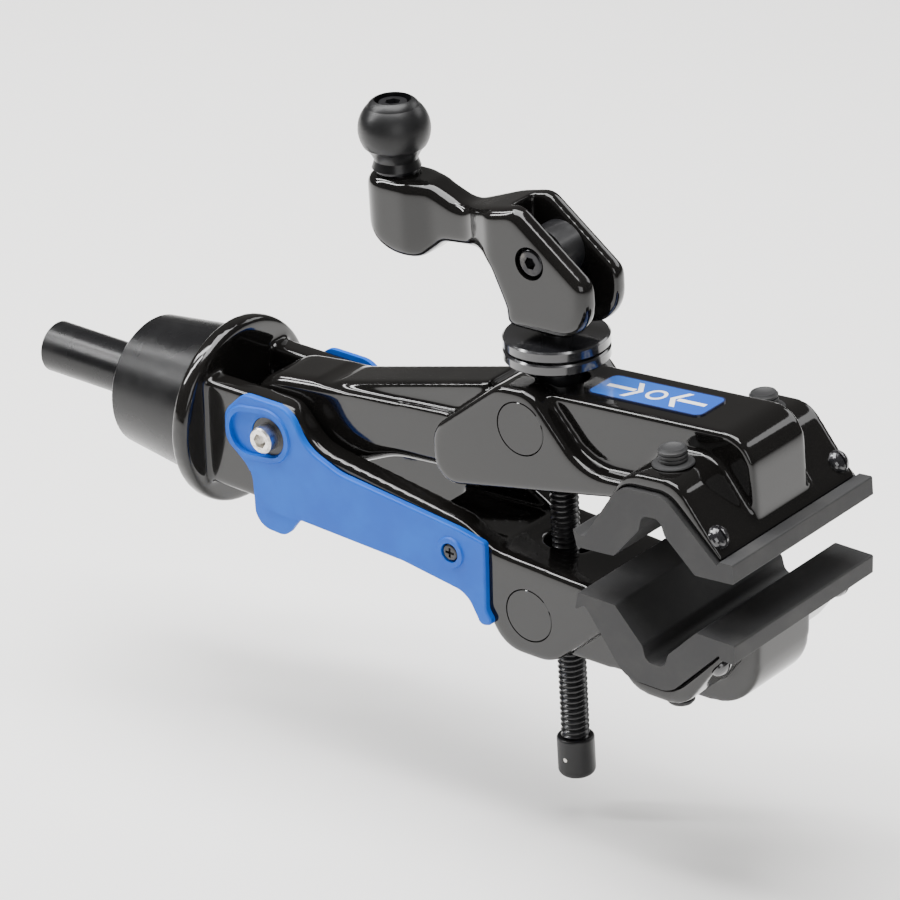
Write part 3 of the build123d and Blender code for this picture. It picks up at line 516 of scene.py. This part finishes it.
@dataclass(frozen=True)
class LabelFilm:
    """Glossy printed film: a blue field with a painted sheen, paler towards its -X end, a dark edge
    band and a generic clamp pictogram.
    """

    centre: tuple[float, float, float]
    tilt: float
    half_length: float
    half_width: float
    name: str = "label film"
    field_colour: Colour = (0.01, 0.075, 0.4)
    # painted sheen: the paler blue that the field takes at the label's -X end stands in for light on
    # the glossy film
    painted_sheen_field: Colour = (0.02, 0.13, 0.54)
    ink: Colour = (0.88, 0.88, 0.86)
    edge: Colour = (0.012, 0.018, 0.06)
    roughness: float = 0.16
    grain_size: float = 1.2 * MM
    grain_depth: float = 0.008 * MM
    coat: float = 0.8
    coat_roughness: float = 0.05
    corner: float = 4 * MM
    soft: float = 0.12 * MM
    outline_from: float = -0.9 * MM
    outline_to: float = -0.6 * MM
    tube_radius: float = 4.0 * MM
    tube_line: float = 0.75 * MM
    vee_slant: float = 0.6
    vee_reach: float = 8.4 * MM
    vee_line: float = 1.25 * MM
    vee_half_width: float = 7.2 * MM
    bar_reach: float = 18.0 * MM
    bar_half_length: float = 7.0 * MM
    bar_line: float = 1.2 * MM

    def build(self) -> bpy.types.Material:
        """Makes the material."""
        shader = Shader(self.name)
        along, across, _ = shader.axes(shader.place(self.centre, (0, -self.tilt, 0)))
        rim = self._from_edge(along, across)
        white = self._pictogram(along, across)
        # painted sheen: the field runs from a paler blue at the -X end to its own blue at the +X end
        sheen_ramp = along.ramp(-self.half_length, self.half_length)
        field_with_sheen = shader.mix(sheen_ramp, self.painted_sheen_field, self.field_colour)
        outlined = shader.mix(rim.ramp(self.outline_from, self.outline_to), field_with_sheen, self.edge)
        grain = shader.noise(shader.place(), self.grain_size, 1.0, 0.5)
        shader.set(
            Base_Color=shader.mix(white, outlined, self.ink),
            Roughness=grain * 0.06 + self.roughness,
            Normal=shader.bump(grain, self.grain_depth, 0.5),
            Coat_Weight=self.coat,
            Coat_Roughness=self.coat_roughness,
        )
        return shader.material

    def _from_edge(self, along: Signal, across: Signal) -> Signal:
        """Distance outside the label's rounded outline, which is below 0 inside it.

        Args:
            along: Place along the label.
            across: Place across it.

        Returns:
            The distance, in metres.
        """
        a = (abs(along) - (self.half_length - self.corner)).larger(0.0)
        b = (abs(across) - (self.half_width - self.corner)).larger(0.0)
        return (a * a + b * b) ** 0.5 - self.corner

    def _pictogram(self, along: Signal, across: Signal) -> Signal:
        """Two vee jaws that close on a round tube, with a bar behind each.

        Args:
            along: Place along the label.
            across: Place across it.

        Returns:
            1 where the ink is white.
        """
        radius = (along * along + across * across) ** 0.5
        tube = self._stroke(radius - self.tube_radius, self.tube_line)
        vee = abs(along) - abs(across) * self.vee_slant
        jaw = self._stroke(vee - self.vee_reach, self.vee_line)
        jaw = jaw * self._stroke(across, self.vee_half_width)
        bar = self._stroke(across, self.bar_line)
        bar = bar * self._stroke(abs(along) - self.bar_reach, self.bar_half_length)
        return tube.larger(jaw).larger(bar)

    def _stroke(self, offset: Signal, half: float) -> Signal:
        """A printed stroke with soft edges.

        Args:
            offset: Distance from the stroke's middle.
            half: Half the stroke's width.

        Returns:
            1 on the stroke.
        """
        return 1 - abs(offset).ramp(half, half + self.soft)


Finish = Union[Enamel, SatinCoat, OxideSteel, PlatedSteel, Bronze, Rubber, MouldedPlastic, LabelFilm]

ENAMEL = Enamel()
SATIN = SatinCoat()
OXIDE = OxideSteel()
RACE_STEEL = OxideSteel(name="polished black steel", roughness=0.12, metallic=0.35, coat=1.0)
ROD_STEEL = OxideSteel(
    name="black threaded steel",
    colour=(0.009, 0.009, 0.01),
    rubbed=(0.05, 0.05, 0.05),
    metallic=0.2,
    coat=0.2,
)
PIN_STEEL = OxideSteel(
    name="dark polished steel", rubbed=(0.3, 0.28, 0.25), roughness=0.16, metallic=0.9
)
PLATED = PlatedSteel()
BRONZE = Bronze()
PAD_RUBBER = Rubber("pad rubber", (0.017, 0.017, 0.018), (0.034, 0.033, 0.032))
PLUG_RUBBER = Rubber("plug rubber", (0.012, 0.012, 0.013), (0.03, 0.03, 0.03), roughness=0.48)
BLUE = MouldedPlastic(
    name="blue plastic",
    colour=(0.002, 0.075, 0.43),
    flow=(0.003, 0.1, 0.5),
    roughness=0.4,
    grain_depth=0.035 * MM,
    coat=0.0,
    gloss=0.22,
)
KNOB_BLACK = MouldedPlastic(
    name="black plastic",
    colour=(0.006, 0.006, 0.0065),
    flow=(0.009, 0.009, 0.0095),
    roughness=0.3,
    coat=0.0,
    gloss=0.32,
)

_made: dict[str, bpy.types.Material] = {}


def material_of(finish: Finish) -> bpy.types.Material:
    """The finish's material, made the first time it is asked for.

    Args:
        finish: The finish.

    Returns:
        The material.
    """
    if finish.name not in _made:
        _made[finish.name] = finish.build()
    return _made[finish.name]


# ------------------------------------------------------------------ making pieces


def dress(node: str, finish: Finish) -> None:
    """Gives a CAD node its finish.

    Args:
        node: The node's name.
        finish: Its finish.
    """
    mesh = frame["nodes"][node].data
    mesh.materials.clear()
    mesh.materials.append(material_of(finish))
    log.info("dressed %s in %s", node, finish.name)


def merged_copy(node: str) -> bmesh.types.BMesh:
    """A copy of a CAD node's mesh with its loose triangles joined.

    Args:
        node: The node's name.

    Returns:
        The joined mesh.
    """
    form = bmesh.new()
    form.from_mesh(frame["nodes"][node].data)
    bmesh.ops.remove_doubles(form, verts=form.verts, dist=CAD_WELD)
    return form


def finish_piece(
    form: bmesh.types.BMesh,
    name: str,
    finish: Finish,
    body: Body,
    replaced: Sequence[str] = (),
) -> bpy.types.Object:
    """Turns a finished bmesh into a piece that faces outwards and rides on its body.

    Args:
        form: The mesh, in place in the frame.
        name: The piece's name.
        finish: Its finish.
        body: The body it rides on.
        replaced: The CAD nodes it stands for.

    Returns:
        The piece.
    """
    bmesh.ops.remove_doubles(form, verts=form.verts, dist=WELD)
    bmesh.ops.recalc_face_normals(form, faces=form.faces)
    for face in form.faces:
        face.smooth = True
    for edge in form.edges:
        edge.smooth = len(edge.link_faces) == 2 and edge.calc_face_angle(math.pi) < CRISP_TURN
    mesh = bpy.data.meshes.new(name)
    form.to_mesh(mesh)
    form.free()
    mesh.materials.append(material_of(finish))
    piece = bpy.data.objects.new(name, mesh)
    bpy.context.scene.collection.objects.link(piece)
    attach(piece, body.value)
    if replaced:
        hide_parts(*replaced)
    log.info("made %s: %d faces", name, len(mesh.polygons))
    return piece


def with_modifiers(
    form: bmesh.types.BMesh, *settings: tuple[str, dict[str, object]]
) -> bmesh.types.BMesh:
    """Runs modifiers over a bmesh and gives their result.

    Args:
        form: The mesh, which is freed.
        settings: Each modifier's type and properties, in order.

    Returns:
        The changed mesh.
    """
    mesh = bpy.data.meshes.new("working")
    form.to_mesh(mesh)
    form.free()
    holder = bpy.data.objects.new("working", mesh)
    bpy.context.scene.collection.objects.link(holder)
    for kind, values in settings:
        modifier = holder.modifiers.new(kind, kind)
        for key, value in values.items():
            setattr(modifier, key, value)
    depsgraph = bpy.context.evaluated_depsgraph_get()
    result = bmesh.new()
    result.from_mesh(holder.evaluated_get(depsgraph).to_mesh())
    holder.evaluated_get(depsgraph).to_mesh_clear()
    bpy.data.objects.remove(holder)
    bpy.data.meshes.remove(mesh)
    return result


def add_cylinder(
    form: bmesh.types.BMesh, start: Vector, end: Vector, radius: float, sides: int = ROUND_SIDES
) -> None:
    """Adds a closed cylinder to a bmesh.

    Args:
        form: The mesh that gets it.
        start: The centre of one end.
        end: The centre of the other end.
        radius: Its radius.
        sides: The number of sides.
    """
    axis = end - start
    turn = axis.to_track_quat("Z", "Y").to_matrix().to_4x4()
    bmesh.ops.create_cone(
        form,
        cap_ends=True,
        cap_tris=False,
        segments=sides,
        radius1=radius,
        radius2=radius,
        depth=axis.length,
        matrix=Matrix.Translation((start + end) / 2) @ turn,
    )


@dataclass(frozen=True)
class Bore:
    """A round hole that stays crisp in a casting."""

    start: Vector
    end: Vector
    radius: float


def trunnion_bores(node: str, centre: Vector, depth: float) -> list[Bore]:
    """The two bores of a casting that hold the ends of a trunnion.

    Args:
        node: The trunnion's node.
        centre: The middle of the trunnion.
        depth: How far from the middle the bores end.

    Returns:
        A bore on each side.
    """
    _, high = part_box(node)
    return [
        Bore(
            Vector((centre.x, side * high.y, centre.z)),
            Vector((centre.x, side * depth, centre.z)),
            TRUNNION_BORE,
        )
        for side in (-1, 1)
    ]


def cast_skin(
    form: bmesh.types.BMesh, voxel: float, passes: int, bores: Sequence[Bore] = (), tilt: float = 0.0
) -> bmesh.types.BMesh:
    """Rounds every edge and inner corner of a shape, as a sand casting has them.

    The bores are filled first and cut again at the end, so their rims stay crisp.

    Args:
        form: The sharp shape.
        voxel: The size of the skin's faces.
        passes: How often the skin is smoothed; more gives larger radii.
        bores: The round holes to keep crisp.
        tilt: How far the shape's flat faces lean about Y, so that the skin's rows follow them.

    Returns:
        The rounded shape.
    """
    level = Matrix.Rotation(tilt, 4, "Y")
    for bore in bores:
        add_cylinder(form, bore.start, bore.end, bore.radius + BORE_FILL)
    bmesh.ops.transform(form, matrix=level, verts=form.verts)
    skin = with_modifiers(form, ("REMESH", {"mode": "VOXEL", "voxel_size": voxel}))
    for _ in range(passes):
        bmesh.ops.smooth_vert(
            skin, verts=skin.verts, factor=0.5, use_axis_x=True, use_axis_y=True, use_axis_z=True
        )
    bmesh.ops.transform(skin, matrix=level.inverted(), verts=skin.verts)
    if bores:
        cutter = bmesh.new()
        for bore in bores:
            reach = (bore.end - bore.start).normalized() * BORE_RUNOUT
            add_cylinder(cutter, bore.start - reach, bore.end + reach, bore.radius)
        tool_mesh = bpy.data.meshes.new("cutter")
        cutter.to_mesh(tool_mesh)
        cutter.free()
        tool = bpy.data.objects.new("cutter", tool_mesh)
        bpy.context.scene.collection.objects.link(tool)
        cut = {"operation": "DIFFERENCE", "solver": "MANIFOLD", "object": tool}
        skin = with_modifiers(skin, ("BOOLEAN", cut))
        bpy.data.objects.remove(tool)
        bpy.data.meshes.remove(tool_mesh)
    return skin


def lathe(
    profile: Sequence[tuple[float, float]], foot: Vector, axis: Vector
) -> bmesh.types.BMesh:
    """Spins a profile of radius and height into a turned piece.

    Args:
        profile: Points of radius and height, from one end to the other.
        foot: Where height 0 is.
        axis: The direction of height.

    Returns:
        The turned mesh, closed at its poles.
    """
    turn = axis.to_track_quat("Z", "Y").to_matrix().to_4x4()
    form = bmesh.new()
    line = [form.verts.new((r, 0, h)) for r, h in profile]
    edges = [form.edges.new(pair) for pair in zip(line, line[1:])]
    bmesh.ops.spin(
        form,
        geom=line + edges,
        cent=(0, 0, 0),
        axis=(0, 0, 1),
        angle=2 * math.pi,
        steps=ROUND_SIDES,
        use_merge=True,
        use_duplicate=False,
    )
    bmesh.ops.remove_doubles(form, verts=form.verts, dist=WELD)
    bmesh.ops.transform(form, matrix=Matrix.Translation(foot) @ turn, verts=form.verts)
    bmesh.ops.recalc_face_normals(form, faces=form.faces)
    return form


# ------------------------------------------------------------------ places, from the frame


def joint_vector(name: str, key: str) -> Vector:
    """A vector of one of the frame's joints.

    Args:
        name: The joint's name.
        key: "pos_m" for its position in metres, or "axis".

    Returns:
        The vector.
    """
    return Vector(next(joint for joint in frame["joints"] if joint["name"] == name)[key])


ROD_UP = joint_vector("rod_spin", "axis").normalized()
UPPER_TRUNNION = joint_vector("upper_trunnion_tilt", "pos_m")
LOWER_TRUNNION = joint_vector("lower_trunnion_tilt", "pos_m")
CAM_PIVOT = joint_vector("cam_lever_flip", "pos_m")
ACROSS = Vector((0, 1, 0))


# ------------------------------------------------------------------ sub-assemblies


@dataclass
class Hub:
    """The mounting stub, its friction cone and the bolt that holds them."""

    def make(self) -> None:
        """Dresses the hub's pieces."""
        dress("mounting_stub", SATIN)
        dress("friction_cone", SATIN)
        dress("stub_bolt", OXIDE)


@dataclass
class LowerCasting:
    """The forked lower casting with its trunnion."""

    voxel: float = 0.95 * MM
    passes: int = 11
    bore_depth: float = 10 * MM

    def make(self) -> None:
        """Makes the casting and dresses its trunnion."""
        bores = trunnion_bores("lower_trunnion", LOWER_TRUNNION, self.bore_depth)
        skin = cast_skin(merged_copy("clamp_body"), self.voxel, self.passes, bores)
        finish_piece(skin, "lower_casting", ENAMEL, Body.CLAMP_BODY, ["clamp_body"])
        dress("lower_trunnion", ENAMEL)


@dataclass
class UpperCasting:
    """The hinged upper casting with its label and bushes."""

    voxel: float = 0.85 * MM
    passes: int = 13
    bore_depth: float = 14 * MM
    tilt: float = math.radians(4.9)

    def make(self) -> None:
        """Makes the casting and dresses what it carries."""
        bores = trunnion_bores("upper_trunnion", UPPER_TRUNNION, self.bore_depth)
        skin = cast_skin(merged_copy("upper_jaw"), self.voxel, self.passes, bores, self.tilt)
        finish_piece(skin, "upper_casting", ENAMEL, Body.UPPER_JAW, ["upper_jaw"])
        dress("upper_trunnion", ENAMEL)
        dress("pivot_bushes", BRONZE)
        self._dress_label()

    def _dress_label(self) -> None:
        """Prints the label on its plate."""
        low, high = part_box("label_plate")
        half_length = (high.x - low.x) / 2 / math.cos(self.tilt)
        film = LabelFilm(tuple((low + high) / 2), self.tilt, half_length, (high.y - low.y) / 2)
        dress("label_plate", film)


@dataclass
class JawPads:
    """The rubber pads with their ribbed plugs and domed screws."""

    plug_length: float = 14.0 * MM
    plug_foot: float = 0.05 * MM
    plug_peg: float = 3.95 * MM
    plug_flange: float = 8.95 * MM
    plug_flange_height: float = 6.55 * MM
    plug_reach: float = 9 * MM
    plug_head: float = 6.15 * MM
    plug_ribs: int = 3
    bodies: dict[str, Body] = field(
        default_factory=lambda: {"lower": Body.CLAMP_BODY, "upper": Body.UPPER_JAW}
    )

    def make(self) -> None:
        """Dresses the pads and their screws, and makes the plugs."""
        for jaw, body in self.bodies.items():
            dress(f"{jaw}_jaw_pad", PAD_RUBBER)
            dress(f"{jaw}_pad_screws", RACE_STEEL)
            self._plugs(jaw, body)

    def _plugs(self, jaw: str, body: Body) -> None:
        """Turns one jaw's pair of plugs, each a ribbed peg with a dished top on a thin flange.

        Args:
            jaw: "lower" or "upper".
            body: The body the plugs ride on.
        """
        low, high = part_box(f"{jaw}_pad_plugs")
        lean = UpperCasting.tilt if jaw == "upper" else 0.0
        up = Vector((-math.sin(lean), 0, math.cos(lean))) * (1 if jaw == "upper" else -1)
        middle = (low + high) / 2
        form = bmesh.new()
        for side in (-1, 1):
            y = side * ((high.y - low.y) / 2 - self.plug_reach)
            foot = Vector((middle.x, y, middle.z)) - up * self.plug_length / 2
            plug = lathe(self._plug_profile(), foot, up)
            mesh = bpy.data.meshes.new("plug")
            plug.to_mesh(mesh)
            plug.free()
            form.from_mesh(mesh)
            bpy.data.meshes.remove(mesh)
        name = f"{jaw}_ribbed_plugs"
        finish_piece(form, name, PLUG_RUBBER, body, [f"{jaw}_pad_plugs"])

    def _plug_profile(self) -> list[tuple[float, float]]:
        """The plug's profile of radius and height, from its foot to its dished top."""
        foot, peg, head = self.plug_foot, self.plug_peg, self.plug_head
        flange, under = self.plug_flange, self.plug_flange_height
        points = [
            (0, foot),
            (peg - 0.35 * MM, foot),
            (peg, foot + 0.35 * MM),
            (peg, under),
            (flange - 0.25 * MM, under),
            (flange, under + 0.3 * MM),
            (flange - 0.35 * MM, under + 0.8 * MM),
            (head + 0.1 * MM, under + 1.2 * MM),
        ]
        start = under + 1.5 * MM
        pitch = (self.plug_length - 0.9 * MM - start) / self.plug_ribs
        for rib in range(self.plug_ribs):
            base = start + rib * pitch
            shapes = ((0.62, 0.0), (0.62, 0.12), (0.0, 0.3), (0.0, 0.82), (0.3, 0.95))
            points += [(head - inset * MM, base + share * pitch) for inset, share in shapes]
        top = self.plug_length - foot
        points += [
            (head - 0.9 * MM, top),
            (head - 1.6 * MM, top),
            (head - 2.3 * MM, top - 0.5 * MM),
            (0, top - 0.7 * MM),
        ]
        return points


@dataclass
class SideCovers:
    """The blue covers with their screws, and the pivot bolt between them."""

    def make(self) -> None:
        """Dresses the covers and the pivot's hardware."""
        dress("right_side_cover", BLUE)
        dress("left_side_cover", BLUE)
        dress("cover_screws", OXIDE)
        dress("pivot_bolt", PLATED)
        dress("pivot_nut", PLATED)
        dress("pivot_washers", OXIDE)


@dataclass
class ScrewDrive:
    """The threaded rod with its cap, collar and thrust races."""

    pitch: float = 2.54 * MM
    thread_depth: float = 1.3 * MM
    crest_drop: float = 0.12 * MM
    steps_a_turn: int = 32
    weld: float = 1e-6
    radius: float = 6.35 * MM
    tail: float = 85 * MM
    thread_top: float = -16 * MM
    shank_foot: float = -17 * MM
    shank_top: float = 64 * MM
    shank_sides: int = 64
    eye_radius: float = 12 * MM
    eye_half_width: float = 6.5 * MM

    def make(self) -> None:
        """Makes the rod and dresses the rest."""
        self._rod()
        dress("rod_end_cap", KNOB_BLACK)
        dress("cap_pin", PLATED)
        dress("rod_collar", OXIDE)
        dress("thrust_sleeve", OXIDE)
        dress("lower_race", RACE_STEEL)
        dress("upper_race", RACE_STEEL)
        dress("roller_cage", OXIDE)

    def _rod(self) -> None:
        """Makes the rod: a helical thread below the upper trunnion and a plain shank above."""
        radius = self.radius
        root = radius - self.thread_depth
        tail = (LOWER_TRUNNION - UPPER_TRUNNION).length + self.tail
        turns = int((tail + self.thread_top) / self.pitch) + 1
        form = bmesh.new()
        profile = [
            (root, 0),
            (root, 0.1 * self.pitch),
            (radius - self.crest_drop, 0.42 * self.pitch),
            (radius, 0.5 * self.pitch),
            (radius - self.crest_drop, 0.58 * self.pitch),
            (root, 0.9 * self.pitch),
            (root, self.pitch),
        ]
        line = [form.verts.new((r, 0, h - tail)) for r, h in profile]
        edges = [form.edges.new(pair) for pair in zip(line, line[1:])]
        steps = turns * self.steps_a_turn
        bmesh.ops.spin(
            form,
            geom=line + edges,
            cent=(0, 0, 0),
            axis=(0, 0, 1),
            dvec=(0, 0, self.pitch / self.steps_a_turn),
            angle=turns * 2 * math.pi,
            steps=steps,
            use_merge=False,
            use_duplicate=False,
        )
        bmesh.ops.remove_doubles(form, verts=form.verts, dist=self.weld)
        for height, keep_above in ((-tail + self.pitch, True), (self.thread_top, False)):
            bmesh.ops.bisect_plane(
                form,
                geom=form.verts[:] + form.edges[:] + form.faces[:],
                plane_co=(0, 0, height),
                plane_no=(0, 0, 1),
                clear_inner=keep_above,
                clear_outer=not keep_above,
            )
        rims = [edge for edge in form.edges if edge.is_boundary]
        bmesh.ops.holes_fill(form, edges=rims, sides=0)
        foot, top = Vector((0, 0, self.shank_foot)), Vector((0, 0, self.shank_top))
        add_cylinder(form, foot, top, radius, self.shank_sides)
        turn = ROD_UP.to_track_quat("Z", "Y").to_matrix().to_4x4()
        bmesh.ops.transform(form, matrix=Matrix.Translation(UPPER_TRUNNION) @ turn, verts=form.verts)
        half_eye = ACROSS * self.eye_half_width
        add_cylinder(form, CAM_PIVOT - half_eye, CAM_PIVOT + half_eye, self.eye_radius)
        finish_piece(form, "threaded_rod", ROD_STEEL, Body.ROD, ["adjusting_rod"])


@dataclass
class CamLever:
    """The forked cam lever with its pin."""

    voxel: float = 0.75 * MM
    passes: int = 16
    seat_depth: float = 4 * MM
    seat_radius: float = 7.3 * MM

    def make(self) -> None:
        """Makes the lever and dresses its hardware."""
        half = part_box("cam_lever")[1].y
        seat = half - self.seat_depth
        bores = [
            Bore(CAM_PIVOT + ACROSS * side * half, CAM_PIVOT + ACROSS * side * seat, self.seat_radius)
            for side in (-1, 1)
        ]
        tilt = math.atan2(-ROD_UP.x, ROD_UP.z)
        skin = cast_skin(merged_copy("cam_lever"), self.voxel, self.passes, bores, tilt)
        finish_piece(skin, "lever_casting", ENAMEL, Body.LEVER, ["cam_lever"])
        dress("lever_pin", PIN_STEEL)
        dress("lever_pin_nut", PIN_STEEL)


@dataclass
class Knob:
    """The round knob on its spindle."""

    def make(self) -> None:
        """Dresses the knob and its spindle."""
        dress("knob", KNOB_BLACK)
        dress("knob_washer", OXIDE)
        dress("knob_screw", OXIDE)


# ------------------------------------------------------------------ studio


@dataclass
class Studio:
    """The floor, the lights and the camera."""

    azimuth: float = math.radians(39.01)
    elevation: float = math.radians(26.17)
    roll: float = math.radians(-1.29)
    distance: float = 2.1207
    shift_right: float = -50.82 * MM
    shift_up: float = 60.34 * MM
    lens: float = 198.22
    sensor_width: float = 36.0
    floor_gap: float = 18 * MM
    floor_half_size: float = 6.0
    floor_centre: float = 0.15
    aim: tuple[float, float, float] = (0.15, 0, 0)
    room_colour: Colour = (1.0, 0.975, 0.945)
    room_strength: float = 0.16
    floor_colour: Colour = (0.93, 0.92, 0.905)
    floor_paler: float = 1.02
    floor_grain: float = 40 * MM
    floor_roughness: float = 0.75
    floor_gloss: float = 0.2
    lights: list[tuple[str, tuple[float, float, float], tuple[float, float], float]] = field(
        default_factory=lambda: [
            ("overhead", (0.1, 0.1, 1.9), (1.6, 1.6), 95.0),
            ("left strip", (-1.3, -0.95, 1.55), (0.22, 1.6), 40.0),
            ("left upper strip", (-1.25, -0.3, 1.95), (0.3, 1.6), 40.0),
            ("right fill", (1.9, -1.5, 0.9), (1.4, 1.2), 18.0),
            ("rear", (0.8, 2.2, 1.3), (1.6, 0.8), 14.0),
        ]
    )

    def make(self) -> None:
        """Sets the camera, the floor and the lights."""
        self._camera()
        self._floor()
        self._lights()

    def _camera(self) -> None:
        """Sets the camera where the viewer stands."""
        turn, rise, roll = self.azimuth, self.elevation, self.roll
        level = math.cos(rise)
        back = Vector((math.sin(turn) * level, -math.cos(turn) * level, math.sin(rise)))
        right = Vector((math.cos(turn), math.sin(turn), 0))
        up = back.cross(right)
        right, up = (
            math.cos(roll) * right + math.sin(roll) * up,
            math.cos(roll) * up - math.sin(roll) * right,
        )
        place = LOWER_TRUNNION + right * self.shift_right + up * self.shift_up + back * self.distance
        data = bpy.data.cameras.new("camera")
        data.sensor_width = self.sensor_width
        data.lens = self.lens
        camera = bpy.data.objects.new("camera", data)
        axes = Matrix((right, up, back)).transposed().to_4x4()
        camera.matrix_world = Matrix.Translation(place) @ axes
        bpy.context.scene.collection.objects.link(camera)
        bpy.context.scene.camera = camera

    def _floor(self) -> None:
        """Lays a pale floor far enough below the object for the rod to come down."""
        low, _ = cad_box
        form = bmesh.new()
        bmesh.ops.create_grid(form, x_segments=1, y_segments=1, size=self.floor_half_size)
        bmesh.ops.translate(form, verts=form.verts, vec=(self.floor_centre, 0, low[2] - self.floor_gap))
        mesh = bpy.data.meshes.new("floor")
        form.to_mesh(mesh)
        form.free()
        floor = bpy.data.objects.new("floor", mesh)
        bpy.context.scene.collection.objects.link(floor)
        shader = Shader("pale floor")
        grain = shader.noise(shader.place(), self.floor_grain, 2.0)
        paler = tuple(min(1.0, part * self.floor_paler) for part in self.floor_colour)
        shader.set(
            Base_Color=shader.mix(grain, self.floor_colour, paler),
            Roughness=self.floor_roughness,
            Specular_IOR_Level=self.floor_gloss,
        )
        mesh.materials.append(shader.material)

    def _lights(self) -> None:
        """Hangs the soft lights and fills the room with a dim even light."""
        aim = Vector(self.aim)
        for name, place, size, power in self.lights:
            data = bpy.data.lights.new(name, "AREA")
            data.shape = "RECTANGLE"
            data.size, data.size_y = size
            data.energy = power
            light = bpy.data.objects.new(name, data)
            light.location = place
            light.rotation_euler = (Vector(place) - aim).to_track_quat("Z", "Y").to_euler()
            bpy.context.scene.collection.objects.link(light)
        world = bpy.data.worlds.new("room")
        world.use_nodes = True
        background = world.node_tree.nodes["Background"]
        background.inputs["Color"].default_value = (*self.room_colour, 1)
        background.inputs["Strength"].default_value = self.room_strength
        bpy.context.scene.world = world


def main() -> None:
    """Builds the studio and each sub-assembly in order."""
    parts = (
        Studio,
        Hub,
        LowerCasting,
        UpperCasting,
        JawPads,
        SideCovers,
        ScrewDrive,
        CamLever,
        Knob,
    )
    for part in parts:
        log.info("-- %s", part.__name__)
        part().make()


if __name__ == "__main__":
    main()
